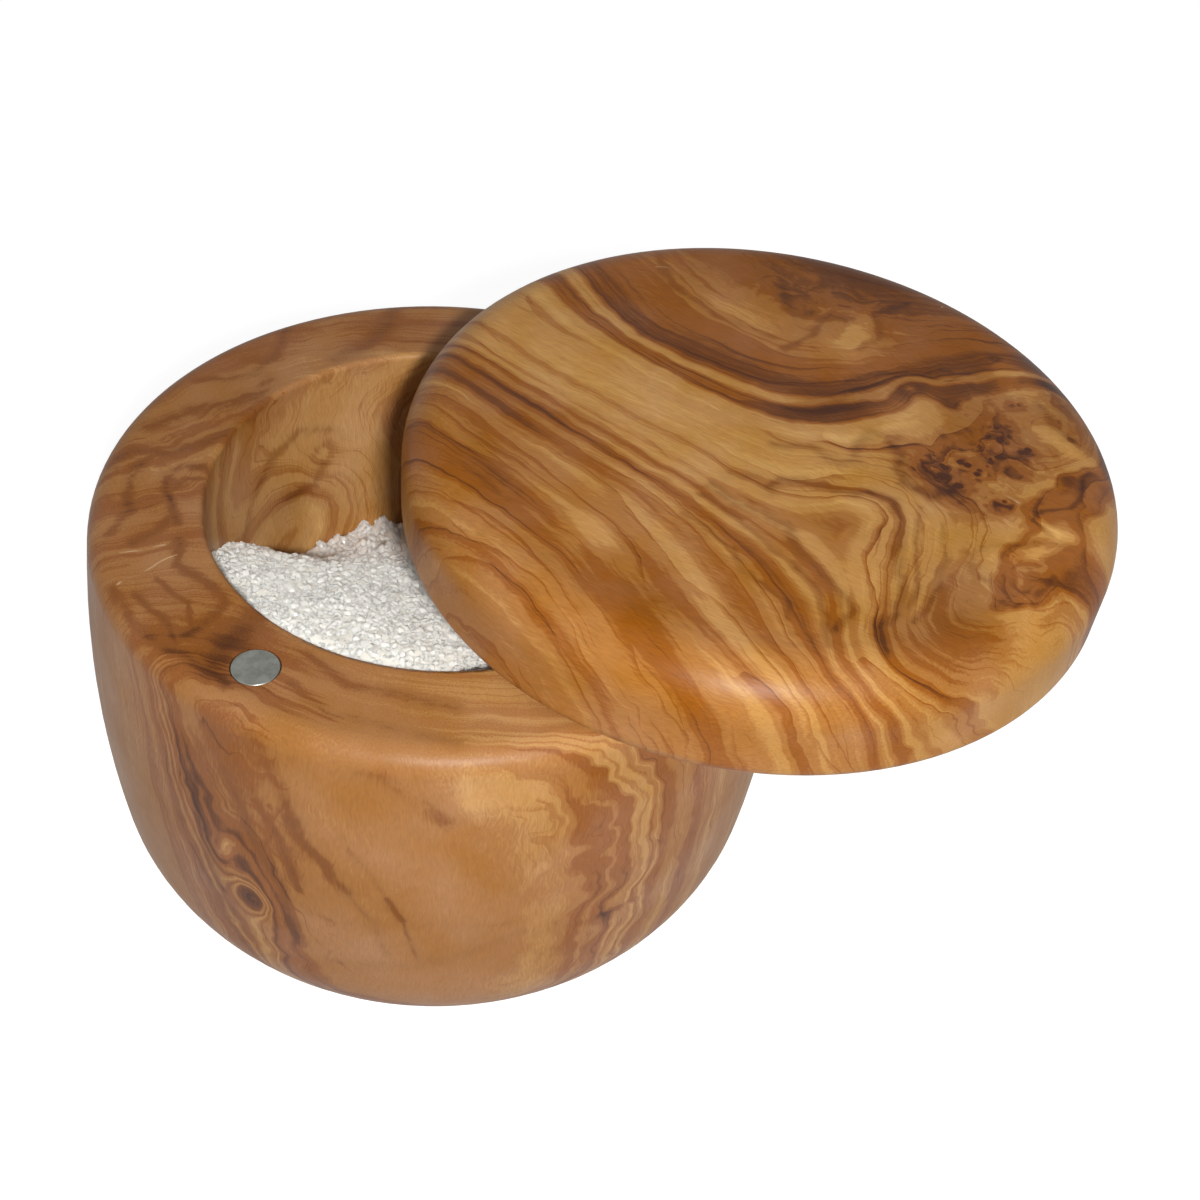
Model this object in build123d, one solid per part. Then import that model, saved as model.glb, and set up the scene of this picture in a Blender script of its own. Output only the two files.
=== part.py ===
"""Turned olive-wood salt keeper with a swivel lid, in millimetres, +Z up.

The origin is the centre of the flat foot. The pivot pin stands in the rim on the +Y side, and the
magnets meet on the -Y side when the lid is closed. The lid is modelled swung open about its pin.
"""
import os
from math import sqrt

from build123d import *

# Body: one block turned to a bowl, with a flat foot, a crowned side and a flat rim.
body_radius = 57.0  # at the widest part of the side
body_height = 75.0
belly_height = 43.0  # height of the widest part
side_curve_radius = 200.0  # the long, shallow curve of the side
heel_round = 24.0  # where the side turns into the foot
shoulder_round = 4.0  # where the side turns into the rim

# Well: the straight-walled hollow that holds the salt.
rim_width = 19.5  # from the widest part of the side to the wall of the well
floor_thickness = 15.0
well_corner_round = 20.0
well_lip_round = 1.0

# Lid: a solid disc that lies flat on the rim and turns about the pin.
lid_inset = 2.0  # how far the closed lid stands back from the widest part of the side
lid_thickness = 18.0
lid_top_round = 8.0
lid_bottom_round = 2.5
lid_open_angle = 63.0  # degrees from closed, anticlockwise as seen from above

# Pivot pin: a steel dowel glued into the lid. It turns in a blind bore in the rim.
pin_radius = 3.0
pin_length_in_lid = 10.0
pin_length_in_body = 22.0
pin_running_clearance = 0.05
pin_end_clearance = 1.0
pin_end_chamfer = 0.5
bore_mouth_chamfer = 0.4

# Magnets: two nickel-plated discs, one let flush into the rim and one into the lid.
magnet_radius = 3.5
magnet_thickness = 3.0
magnet_edge_round = 0.25
magnet_glue_gap = 0.1  # all round the disc in its pocket

# Worked out from the sizes above.
well_radius = body_radius - rim_width
lid_radius = body_radius - lid_inset
side_curve_centre = body_radius - side_curve_radius
rim_outer_radius = side_curve_centre + sqrt(side_curve_radius**2 - (body_height - belly_height) ** 2)
rim_middle = (well_radius + rim_outer_radius) / 2
pivot_axis = Axis((0, rim_middle, 0), (0, 0, 1))
pivot_on_rim = Pos(0, rim_middle, body_height)
magnet_on_rim = Pos(0, -rim_middle, body_height)

ON_FLOOR = (Align.CENTER, Align.CENTER, Align.MIN)
HUNG = (Align.CENTER, Align.CENTER, Align.MAX)
OUTWARD = (Align.MIN, Align.MIN)


def turned(profile):
    """A solid turned about Z, from a half profile with X as radius and Y as height."""
    return revolve(Plane.XZ * profile, Axis.Z)


def outer_corners(profile):
    """The two outermost corners of a half profile, the lower one first."""
    return profile.vertices().sort_by(Axis.X)[-2:].sort_by(Axis.Y)


def swung_open(closed):
    """A piece of the lid, moved from closed to where the open lid stands."""
    return closed.rotate(pivot_axis, lid_open_angle)


def body_blank():
    """The outside of the body: a shallow arc cut off flat at foot and rim, with rounded corners."""
    side = Pos(side_curve_centre, belly_height) * Circle(side_curve_radius)
    profile = Rectangle(2 * body_radius, body_height, align=OUTWARD) & side
    profile = fillet(outer_corners(profile)[0], heel_round)
    shoulder = profile.vertices().group_by(Axis.Y)[-1].sort_by(Axis.X)[-1]
    return turned(fillet(shoulder, shoulder_round))


def well():
    """The salt well, with a straight wall and a large round where the wall meets the floor."""
    depth = body_height - floor_thickness
    profile = Rectangle(well_radius, depth, align=OUTWARD)
    profile = fillet(outer_corners(profile)[0], well_corner_round)
    return turned(Pos(0, floor_thickness) * profile)


def pivot_bore():
    """The blind running bore for the pin, with a small chamfer at its mouth."""
    radius = pin_radius + pin_running_clearance
    bore = Cylinder(radius, pin_length_in_body + pin_end_clearance, align=HUNG)
    mouth = Cone(radius, radius + bore_mouth_chamfer, bore_mouth_chamfer, align=HUNG)
    return pivot_on_rim * (bore + mouth)


def magnet_pocket(side):
    """A pocket as deep as the magnet, below the rim or up into the lid."""
    return magnet_on_rim * Cylinder(magnet_radius + magnet_glue_gap, magnet_thickness, align=side)


def make_body():
    """The turned body with its well, pivot bore and magnet pocket."""
    body = body_blank() - well()
    lip = body.edges().group_by(Axis.Z)[-1].sort_by(SortBy.LENGTH)[0]
    return fillet(lip, well_lip_round) - pivot_bore() - magnet_pocket(HUNG)


def make_lid():
    """The lid disc, with its blind hole for the pin and its magnet pocket in the underside."""
    profile = Rectangle(lid_radius, lid_thickness, align=OUTWARD)
    profile = fillet(outer_corners(profile)[-1], lid_top_round)
    underside = profile.vertices().group_by(Axis.Y)[0].sort_by(Axis.X)[-1]
    disc = Pos(0, 0, body_height) * turned(fillet(underside, lid_bottom_round))
    pin_hole = pivot_on_rim * Cylinder(pin_radius, pin_length_in_lid, align=ON_FLOOR)
    return swung_open(disc - pin_hole - magnet_pocket(ON_FLOOR))


def make_pivot_pin():
    """The dowel, with both ends chamfered, from the bottom of its hole in the lid to near the bore's."""
    pin = Cylinder(pin_radius, pin_length_in_lid + pin_length_in_body, align=ON_FLOOR)
    ends = pin.edges().filter_by(GeomType.CIRCLE)
    return pivot_on_rim * Pos(0, 0, -pin_length_in_body) * chamfer(ends, pin_end_chamfer)


def magnet_disc(side):
    """A plated disc with softened edges, in its pocket below the rim or above it."""
    disc = Cylinder(magnet_radius, magnet_thickness, align=side)
    return magnet_on_rim * fillet(disc.edges().filter_by(GeomType.CIRCLE), magnet_edge_round)


nodes = {
    "body": make_body(),
    "body_magnet": magnet_disc(HUNG),
    "lid": make_lid(),
    "lid_magnet": swung_open(magnet_disc(ON_FLOOR)),
    "pivot_pin": make_pivot_pin(),
}

os.makedirs("parts", exist_ok=True)
for name, shape in nodes.items():
    export_step(shape, f"parts/{name}.step")
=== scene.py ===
"""Dresses a turned olive-wood salt keeper: oiled wood, plated magnets, a steel pin and coarse salt.

The file is laid out as an add-on. Its sizes and colours are properties of the scene, and each piece
or group of like pieces has an operator. Lengths are millimetres where a name says so, and metres in
Blender's own values. The wood's figure is worked out from the growth rings of the tree: where they
bulge round knots and burls, and how dark the wood laid down in each of them is.
"""
import math
from typing import NamedTuple

import bpy
from mathutils import Matrix, Vector, noise


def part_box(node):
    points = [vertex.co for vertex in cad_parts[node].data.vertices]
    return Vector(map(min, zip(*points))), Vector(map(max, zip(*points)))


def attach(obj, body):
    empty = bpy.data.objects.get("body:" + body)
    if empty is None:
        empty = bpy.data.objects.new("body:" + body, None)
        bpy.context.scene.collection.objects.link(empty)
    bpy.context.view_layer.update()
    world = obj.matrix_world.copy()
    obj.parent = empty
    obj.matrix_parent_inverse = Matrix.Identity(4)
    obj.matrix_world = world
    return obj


bl_info = {
    "name": "Salt keeper",
    "version": (1, 0, 0),
    "blender": (4, 5, 0),
    "location": "3D View > Sidebar > Salt keeper",
    "description": "Dresses a turned olive-wood salt keeper with a swivel lid",
    "category": "Object",
}

MM = 0.001
MIDDLE_TONE = 0.42  # the wood's tone between its pale and dark streaks
PIN_KNOT_SPACING = 1.9  # millimetres from one pin knot to the next in a burl

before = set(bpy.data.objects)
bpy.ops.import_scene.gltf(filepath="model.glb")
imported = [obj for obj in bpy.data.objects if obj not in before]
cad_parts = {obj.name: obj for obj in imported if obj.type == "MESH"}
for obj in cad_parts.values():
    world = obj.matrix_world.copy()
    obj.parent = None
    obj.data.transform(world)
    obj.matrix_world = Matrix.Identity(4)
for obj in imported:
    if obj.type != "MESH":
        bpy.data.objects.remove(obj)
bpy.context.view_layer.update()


def middle(node):
    """The centre of a node's box, in millimetres."""
    low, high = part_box(node)
    return (Vector(low) + Vector(high)) / 2 / MM


BODY_HIGH = Vector(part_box("body")[1]) / MM
BODY_RADIUS = BODY_HIGH.x
RIM_HEIGHT = BODY_HIGH.z
LID_MIDDLE = middle("lid")
LID_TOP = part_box("lid")[1][2] / MM
RIM_MAGNET = middle("body_magnet")
BODY_POINTS = [vertex.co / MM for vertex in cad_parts["body"].data.vertices]
WELL_RADIUS = min(point.xy.length for point in BODY_POINTS if point.z > RIM_HEIGHT * 0.6)
WELL_FLOOR = min(point.z for point in BODY_POINTS if point.xy.length < WELL_RADIUS / 2 and point.z > 1)
WELL_CORNER_ROUND = 20.0


def linear(code):
    """An sRGB hex colour as linear RGBA."""
    parts = [int(code[i : i + 2], 16) / 255 for i in (1, 3, 5)]
    return [c / 12.92 if c <= 0.04045 else ((c + 0.055) / 1.055) ** 2.4 for c in parts] + [1.0]


def grey(value):
    """A grey of a given brightness as linear RGBA."""
    return [value, value, value, 1.0]


def add(tree, kind, inputs=(), out=0, stops=(), **settings):
    """Adds a node and gives one output. Inputs are values, or the sockets that feed them.

    stops are the positions and colours of a colour ramp.
    """
    made = tree.nodes.new(kind)
    for key, value in settings.items():
        setattr(made, key, value)
    for key, value in dict(inputs).items():
        if isinstance(value, bpy.types.NodeSocket):
            tree.links.new(value, made.inputs[key])
        else:
            made.inputs[key].default_value = value
    for index, (position, colour) in enumerate(stops):
        ramp = made.color_ramp.elements
        stop = ramp[index] if index < 2 else ramp.new(position)
        stop.position, stop.color = position, colour
    return made.outputs[out] if made.outputs else None


def blank_material(name):
    """A new material with an empty tree."""
    material = bpy.data.materials.new(name)
    material.use_nodes = True
    material.node_tree.nodes.clear()
    return material, material.node_tree


# ---------------------------------------------------------------- the figure of the wood


class Bump(NamedTuple):
    """A soft lump of something at a place. Millimetres, and degrees about Z."""

    where: tuple
    reach: tuple
    amount: float
    turn: float = 0.0


class Line(NamedTuple):
    """A thin straight mark, such as a check or a scratch. Millimetres."""

    start: tuple
    end: tuple
    width: float
    amount: float


class Figure(NamedTuple):
    """How one blank was cut from the tree, and what grew in it. Millimetres from its centre."""

    centre: tuple  # of the blank
    pith: tuple  # a point on the heart of the tree
    trunk: tuple  # direction of the heart
    bands: tuple  # ring radius less the pith's distance, and how dark the wood of that ring is
    years: tuple  # widths of the growth rings that show, and how dark each ends
    tint: tuple  # how strong and how bright its colour is
    swells: tuple  # where the rings bulge outwards, in millimetres
    # The stained places below include painted light: paler wood on the wall of the body's well.
    stains_and_painted_light: tuple  # where the wood is darker
    lively: tuple  # where the streaks are strongest
    burl: tuple  # where the grain is wildest
    eyes: tuple  # where pin knots cluster
    knots: tuple  # single small knots: place and radius
    checks: tuple  # fine dark veins and cracks
    scratches: tuple


def on_side(angle, height, radius=BODY_RADIUS):
    """A place on the body's side, by degrees from +X and height."""
    turn = math.radians(angle)
    return (radius * math.cos(turn), radius * math.sin(turn), height)


def on_wall(angle, height):
    """A place on the wall of the well."""
    return on_side(angle, height, WELL_RADIUS)


def vein(points, width, amount):
    """A line through several points, as one straight mark after another."""
    return [Line(start, end, width, amount) for start, end in zip(points, points[1:])]


def flat_vein(points, width, amount, height=0.0):
    """A line through points that lie at one height."""
    return vein([(x, y, height) for x, y in points], width, amount)


def rim_vein(points, width, amount):
    """A line on the flat of the body's rim."""
    return flat_vein(points, width, amount, RIM_HEIGHT)


def side_vein(points, width, amount):
    """A line on the body's side, by angles and heights."""
    return vein([on_side(angle, height) for angle, height in points], width, amount)


def wall_vein(points, width, amount):
    """A line on the wall of the well, by angles and heights."""
    return vein([on_wall(angle, height) for angle, height in points], width, amount)


LID_FIGURE = Figure(
    centre=(LID_MIDDLE.x, LID_MIDDLE.y, LID_TOP),
    pith=(-45.0, -297.0, -60.0),
    trunk=(0.988, -0.15, 0.0),
    bands=(
        (-56, 0.45), (-51, 0.4), (-48, 0.56), (-46, 0.38), (-43, 0.5), (-40, 0.6), (-36, 0.54),
        (-33, 0.36), (-30, 0.52), (-27.5, 0.3), (-25, 0.62), (-23, 0.38), (-21.3, 0.7), (-19.8, 0.28),
        (-18.4, 0.6), (-17, 0.24), (-16, 0.46), (-14.5, 0.2), (-11.4, 0.46), (-10.4, 0.2), (-4, 0.2),
        (-1, 0.32), (1.5, 0.2), (3.8, 0.26), (4.8, 0.66), (7.8, 0.66), (8.8, 0.22), (10.1, 0.28),
        (11.3, 0.72), (14.5, 0.68), (24, 0.5), (44, 0.58),
    ),
    years=((3.1, 0.3), (1.3, 0.2)),
    tint=(1.0, 0.98),
    swells=(
        Bump((-20, 12, 0), (26, 14, 50), 7),
        Bump((36, 36, 0), (25, 25, 50), -36),
        Bump((-14, 46, 0), (18, 18, 50), 5),
        Bump((42, -22, 0), (10, 19, 40), 15, -18),
        Bump((20, -8, 0), (10, 9, 30), -8),
        Bump((24, -46, 0), (30, 18, 50), 12),
        Bump((-50, 20, 0), (14, 14, 50), -3),
        Bump((8, 12, 0), (8, 8, 40), -2),
        Bump((19, 12, 0), (10, 11, 40), -5),
    ),
    stains_and_painted_light=(
        Bump((20, -15, 0), (7, 5, 8), 0.16),
        Bump((28, 24, 0), (13, 13, 12), 0.3),
        Bump((40, -19, 0), (7, 12, 12), 0.5),
        Bump((50, -8, 0), (5, 16, 12), 0.2),
        Bump((36, -30, 0), (7, 5, 12), 0.2),
        Bump((28, 2, 0), (9, 5, 8), 0.3),
        Bump((44.5, 4.2, 0), (2.6, 0.9, 8), -0.3, -25),
        Bump((46, -1.5, 0), (1.2, 4, 8), -0.3, -15),
        Bump((39, 23.5, 0), (7, 1.7, 8), -0.34, -18),
        Bump((46, 3, 0), (4, 2, 8), -0.3, 10),
        Bump((26, -22, 0), (4, 6, 8), -0.12),
        Bump((-27, -33, 0), (9, 4, 12), 0.16, -25),
        Bump((4, -43, 0), (9, 4, 12), 0.22, -35),
        Bump((-10, -37, 0), (4, 3, 8), -0.2, -30),
        Bump((-13, 35, 0), (8, 4, 10), 0.1, -30),
        Bump((1, 28, 0), (4, 5, 10), -0.3),
        Bump((0, 36, 0), (2, 4, 10), -0.26),
        Bump((-16, 24, 0), (9, 4, 10), -0.18),
        Bump((-10, 13, 0), (16, 3, 10), 0.12),
        Bump((26, 35, 0), (3, 6, 8), -0.3, 35),
        Bump((45, -4, 0), (6, 14, 12), -0.34),
        Bump((-14, 41, 0), (32, 13, 12), 0.24),
        Bump((-4, 46, 0), (18, 7, 12), 0.2),
        Bump((5, 10, 0), (10, 3.5, 8), 0.36, 52),
        Bump((46, -24, 0), (5, 10, 8), 0.26, -20),
        Bump((48, -16, 0), (4, 4, 8), -0.2),
        Bump((33, 42, -3), (20, 8, 10), 0.2, -35),
        Bump((16, 16, 0), (4, 6, 8), -0.2),
        Bump((31, 9, 0), (11, 11, 12), 0.14),
        Bump((-50, -30, 0), (20, 30, 12), 0.06),
        Bump((-38, -19, 0), (18, 4, 8), 0.2, -6),
        Bump((-32, -4, 0), (20, 5, 8), -0.1),
        Bump((42, 30, -2), (8, 5, 8), 0.2, -60),
    ),
    lively=(
        Bump((-30, -30, 0), (40, 24, 40), 0.2),
        Bump((-30, -4, 0), (22, 7, 40), -0.3),
        Bump((-14, 34, 0), (28, 14, 40), -0.9),
        Bump((22, -14, 0), (20, 18, 40), 0.6),
        Bump((12, 0, 0), (12, 10, 40), 0.5),
    ),
    burl=(
        Bump((32, 14, 0), (14, 20, 40), 1.0),
        Bump((12, -4, 0), (12, 9, 40), 0.5),
        Bump((-8, 36, 0), (22, 12, 40), 0.85),
        Bump((46, -10, 0), (9, 14, 40), 0.8),
        Bump((34, 36, 0), (9, 7, 40), 0.4),
    ),
    eyes=(
        Bump((25, 5.5, 0), (3.2, 2.6, 4), 1.0),
        Bump((29, 10, 0), (3, 3, 4), 1.0),
        Bump((30, 4, 0), (1.8, 1.8, 4), 0.9),
        Bump((35, 12.5, 0), (2.8, 2, 4), 1.0),
        Bump((36.5, 4.5, 0), (2.4, 3.4, 4), 1.0),
        Bump((30, 19, 0), (2, 3.4, 4), 1.0),
        Bump((35, 18.5, 0), (1.6, 1.6, 4), 0.9),
        Bump((21.5, 22, 0), (2.4, 1.6, 4), 0.4),
        Bump((42.5, 16, 0), (2, 1.6, 4), 0.3),
        Bump((29, 28.5, 0), (1.4, 1.4, 4), 0.9),
    ),
    knots=(((14, 22.5, 0), 2.2), ((47.5, 12, -1), 0.8), ((22, 39, 0), 0.8), ((40, 25.5, 0), 0.7)),
    checks=(
        *flat_vein(((7, -13), (8, -10), (12, -8), (18, -6.5), (20.5, -5), (23, -5.2), (26, -8)), 1.0, 0.44),
        *flat_vein(((26, -8), (27.5, -12), (29, -16), (31.5, -20), (33, -26)), 1.0, 0.42),
        *flat_vein(((33, -26), (32.5, -30), (35, -33)), 1.0, 0.42),
        *flat_vein(((27.2, -4), (29, -10), (31.5, -15), (33.5, -19), (34, -24)), 0.6, 0.32),
        *flat_vein(((31, -5), (34.5, -12), (36, -18), (36, -26)), 0.6, 0.28),
        *flat_vein(((17, 9.5), (13.5, 8), (13, 4), (14.5, 0.5), (13, -1.8), (8, -1), (3, -3.5)), 1.1, 0.34),
        *flat_vein(((17, 8), (19.5, 6), (20.8, 2.5), (23, 0), (27, -0.4), (28.5, 2)), 1.1, 0.42),
        *flat_vein(((0, -17.5), (5, -19), (13, -19), (17, -23), (24, -26), (28, -29), (27.5, -34)), 1.0, 0.4),
        *flat_vein(((0, -20.5), (7, -22), (13, -24.5), (21, -27.5), (25, -32), (28, -37)), 0.7, 0.34),
        *flat_vein(((0, -25.5), (9, -28), (12, -31), (20, -33), (21.5, -36)), 0.6, 0.3),
        *flat_vein(((1, -14), (5, -12.5), (8, -14)), 1.2, 0.22),
        *flat_vein(((45.5, 21), (44.5, 18), (45.8, 14), (45, 10), (42, 6), (42, 4), (46.5, 1.2)), 0.5, 0.4),
        *flat_vein(((46.5, 1.2), (44.5, -0.5), (39, -5), (37.5, -8)), 0.8, 0.26),
        *flat_vein(((37, -8), (39, -12), (41, -12)), 1.0, 0.2),
        *flat_vein(((5, 18), (9, 24), (14, 27), (17.5, 31)), 0.5, 0.28),
        *flat_vein(((7, 16), (10, 21), (12, 26), (18, 27.5), (20, 32)), 0.5, 0.28),
        *flat_vein(((31, 38), (34, 34), (37, 32)), 1.3, 0.34),
        *flat_vein(((32, 31), (37, 27), (41, 25)), 0.8, 0.26),
        *flat_vein(((-15, 35), (-10, 29), (-8, 31)), 1.2, 0.3),
        *flat_vein(((-7, 20), (-5, 26), (-6, 31), (-2, 34)), 0.8, 0.3),
        *flat_vein(((-37, 31), (-30, 24), (-20, 21), (-10, 21)), 0.8, 0.22),
        *flat_vein(((4, 44), (1, 38), (4, 33), (3, 27)), 0.8, 0.26),
    ),
    scratches=(
        Line((7.8, 54, -4), (9, 47, 0), 0.16, 0.5),
        Line((-35, 27.3, 0), (-33, 28.5, 0), 0.16, 0.5),
        Line((35.5, 7.5, 0), (38.5, 6.5, 0), 0.2, 0.35),
    ),
)

BODY_FIGURE = Figure(
    centre=(0.0, 0.0, 0.0),
    pith=(-115.0, 164.0, 0.0),
    trunk=(0.0, 0.0, 1.0),
    bands=(
        (-60, 0.45), (-35, 0.6), (-28, 0.4), (-20, 0.4), (-16, 0.58), (-13.5, 0.34), (-9.5, 0.56),
        (-7.5, 0.3), (4, 0.6), (10, 0.42), (17, 0.6), (24, 0.44), (42, 0.38), (45.4, 0.56), (47, 0.36),
        (48.3, 0.54), (49.3, 0.6), (49.7, 0.3), (50.2, 0.56), (50.5, 0.24), (50.9, 0.26), (51.2, 0.62),
        (51.6, 0.32), (52, 0.76), (52.35, 0.42), (52.7, 0.82), (53.05, 0.44), (53.4, 0.76), (53.65, 0.34),
        (53.95, 0.56), (54.3, 0.38), (60, 0.4),
    ),
    years=((2.4, 0.2), (0.6, 0.24)),
    tint=(0.95, 0.95),
    swells=(
        Bump(on_side(264, 88), (22, 22, 36), 13),
        Bump(on_side(276, 38), (4, 4, 11), -2.2),
        Bump(on_side(270.7, 46), (1.6, 1.6, 4), 1.2),
        Bump(on_wall(168, 43), (17, 17, 17), 26),
        Bump((-62, -24, 60), (26, 30, 50), -30),
        Bump((-26, 5, 80), (20, 45, 14), 14),
    ),
    stains_and_painted_light=(
        Bump((RIM_MAGNET.x - 3, RIM_MAGNET.y + 2, RIM_HEIGHT), (7, 7, 5), 0.16),
        Bump((-42, 0, RIM_HEIGHT), (16, 40, 5), 0.14),
        Bump((-41.5, 21, RIM_HEIGHT), (3, 6, 5), -0.12),
        Bump((36, -32, RIM_HEIGHT), (16, 10, 5), -0.1),
        Bump(on_side(270, 50), (10, 8, 30), 0.1),
        Bump((-16, -46, RIM_HEIGHT), (14, 10, 5), 0.12),
        Bump((0, -50, 20), (70, 30, 60), 0.04),
        Bump(on_side(302, 10), (22, 22, 9), 0.1),
        Bump(on_side(302, 64), (8, 8, 4), 0.08),
        Bump(on_side(316, 68), (6, 6, 4), -0.16),
        Bump(on_side(270, 68), (9, 9, 10), 0.08),
        Bump(on_side(268, 66), (5, 5, 9), 0.12),
        Bump(on_side(276, 60), (5, 5, 9), 0.16),
        Bump(on_side(283, 53), (4, 4, 8), 0.16),
        Bump(on_side(272.5, 46.5), (1.6, 1.6, 4.2), -0.4),
        Bump(on_side(297, 72), (5, 4, 3), 0.14),
        Bump(on_side(309, 69), (2.2, 2.2, 4.5), -0.2),
        Bump(on_wall(172, 50.5), (5, 5, 3), 0.34),
        Bump(on_wall(166, 42), (10, 10, 6), -0.08),
        # Painted light: the wall of the well is made paler, partly the wood's own tone and partly to make up
        # for the shade inside the well.
        Bump(on_wall(160, 54), (26, 30, 22), -0.18),
        Bump(on_side(333, 35), (2.5, 4, 1.0), 0.3),
        Bump((12, 52, RIM_HEIGHT), (30, 16, 6), -0.14),
    ),
    lively=(
        Bump(on_side(272, 50), (10, 10, 40), 0.6),
        Bump((-44, -5, 75), (14, 36, 8), -0.55),
        Bump(on_side(305, 42), (13, 13, 60), -1.2),
        Bump(on_side(289, 66), (12, 12, 14), -0.5),
        Bump(on_side(245, 40), (14, 14, 40), -0.8),
        Bump((10, -48, 74), (34, 14, 8), -0.6),
        Bump(on_wall(170, 50), (18, 18, 18), 0.3),
        Bump((14, -38, 4), (36, 16, 10), 1.0),
    ),
    burl=(
        Bump((-42, -20, 75), (14, 26, 9), 0.6),
        Bump((-42, 20, 75), (14, 20, 9), 0.45),
        Bump((-10, -46, 75), (14, 10, 9), 0.5),
        Bump(on_side(331, 45), (12, 12, 40), 0.2),
        Bump(on_side(312, 62), (14, 14, 16), 0.35),
    ),
    eyes=(),
    knots=(
        (on_side(275.5, 37.5), 1.4),
        (on_wall(160, 58), 2.2),
        ((-35.5, -22.5, 75), 1.3),
    ),
    checks=(
        *side_vein(((276, 75), (280.5, 66), (283.8, 57)), 1.5, 0.42),
        *side_vein(((283.8, 57), (287.3, 52.5), (291, 46.5)), 1.2, 0.36),
        *side_vein(((291, 46.5), (295, 40), (297, 31.5)), 0.7, 0.22),
        *side_vein(((288.7, 60.7), (294, 52.5), (297, 46.5)), 0.6, 0.2),
        *side_vein(((297, 46.5), (299.3, 41.3)), 0.8, 0.42),
        *side_vein(((299.3, 41.3), (300, 37.5), (301.8, 30)), 0.6, 0.32),
        *side_vein(((262, 75), (266, 58), (267, 46), (270, 32), (275, 20)), 0.9, 0.34),
        *side_vein(((268, 74), (272, 64), (276, 54), (281, 44), (283, 30)), 1.1, 0.36),
        *side_vein(((272, 75), (277, 62), (281, 54), (284, 44)), 0.8, 0.4),
        *side_vein(((290, 72), (296, 71), (301.7, 68), (305, 64)), 1.6, 0.34),
        *side_vein(((284, 40), (290, 38.6), (302, 40), (315, 39.7)), 0.9, 0.09),
        *side_vein(((288, 27), (302, 29), (310, 33), (316, 36.5)), 1.3, 0.12),
        *wall_vein(((157, 62), (167, 65), (178, 62), (187, 56), (192, 50)), 1.2, 0.26),
        *wall_vein(((160, 55), (163, 52), (172, 52)), 1.0, 0.26),
        *rim_vein(((-37, 36), (-35, 30), (-34, 24), (-36, 18)), 1.7, 0.30),
        *rim_vein(((-48, 20), (-45, 13), (-44, 6), (-46, 2), (-50, -1)), 0.9, 0.25),
        *rim_vein(((-41, 6), (-40, 2), (-42, -3), (-46, -9), (-48, -15)), 1.5, 0.30),
        *rim_vein(((-38, 2), (-37, -6), (-38, -12), (-41, -18), (-45, -21), (-47, -26)), 1.2, 0.34),
        *rim_vein(((-43, -19), (-42, -25), (-39, -29), (-36, -32), (-35, -37)), 0.9, 0.29),
        *rim_vein(((-33, -17), (-37, -19), (-37.5, -22), (-35.5, -25), (-32, -27), (-29, -30)), 0.8, 0.43),
        *rim_vein(((-32.5, -20), (-35, -21), (-34.5, -24)), 0.5, 0.38),
        *rim_vein(((-31, -28), (-30, -33), (-31, -37)), 0.8, 0.29),
        *rim_vein(((-26, -33), (-22, -37), (-16, -37), (-12, -39), (-11, -42), (-12, -47)), 0.9, 0.35),
        *rim_vein(((-23, -41), (-16, -42), (-12.5, -45)), 0.5, 0.26),
        *rim_vein(((-23, -45), (-17, -46), (-12, -49)), 0.6, 0.26),
        *rim_vein(((-27, -46), (-20, -49), (-14, -50.5), (-6, -50), (-1, -51)), 0.9, 0.34),
        *rim_vein(((-6.5, -38), (-6, -44), (-5, -50)), 2.3, 0.34),
        *rim_vein(((4, -40), (12, -41), (20, -38), (27, -36)), 1.0, 0.25),
        *rim_vein(((6, -46), (14, -47), (22, -44), (31, -41)), 0.9, 0.22),
    ),
    scratches=(
        Line((-36, -24.5, 75), (-32.5, -22.8, 75), 0.16, 0.45),
        Line((-31, -40, 75), (-27, -34.5, 75), 0.16, 0.45),
        Line((-27, -46, 75), (-25.5, -40, 75), 0.16, 0.45),
        Line((-25.5, -40, 75), (-24, -35.5, 75), 0.16, 0.45),
    ),
)


def bump_sum(tree, place, bumps):
    """The sum of smooth bumps at a place."""
    total = 0.0
    for bump in bumps:
        away = add(tree, "ShaderNodeVectorMath", {0: place, 1: bump.where}, operation="SUBTRACT")
        if bump.turn:
            turn = {"Vector": away, "Angle": math.radians(-bump.turn)}
            away = add(tree, "ShaderNodeVectorRotate", turn, rotation_type="Z_AXIS")
        share = add(tree, "ShaderNodeVectorMath", {0: away, 1: bump.reach}, operation="DIVIDE")
        square = add(tree, "ShaderNodeVectorMath", {0: share, 1: share}, "Value", operation="DOT_PRODUCT")
        fall = add(tree, "ShaderNodeMath", {0: math.exp(-1), 1: square}, operation="POWER")
        total = add(tree, "ShaderNodeMath", {0: fall, 1: bump.amount, 2: total}, operation="MULTIPLY_ADD")
    return total


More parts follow.
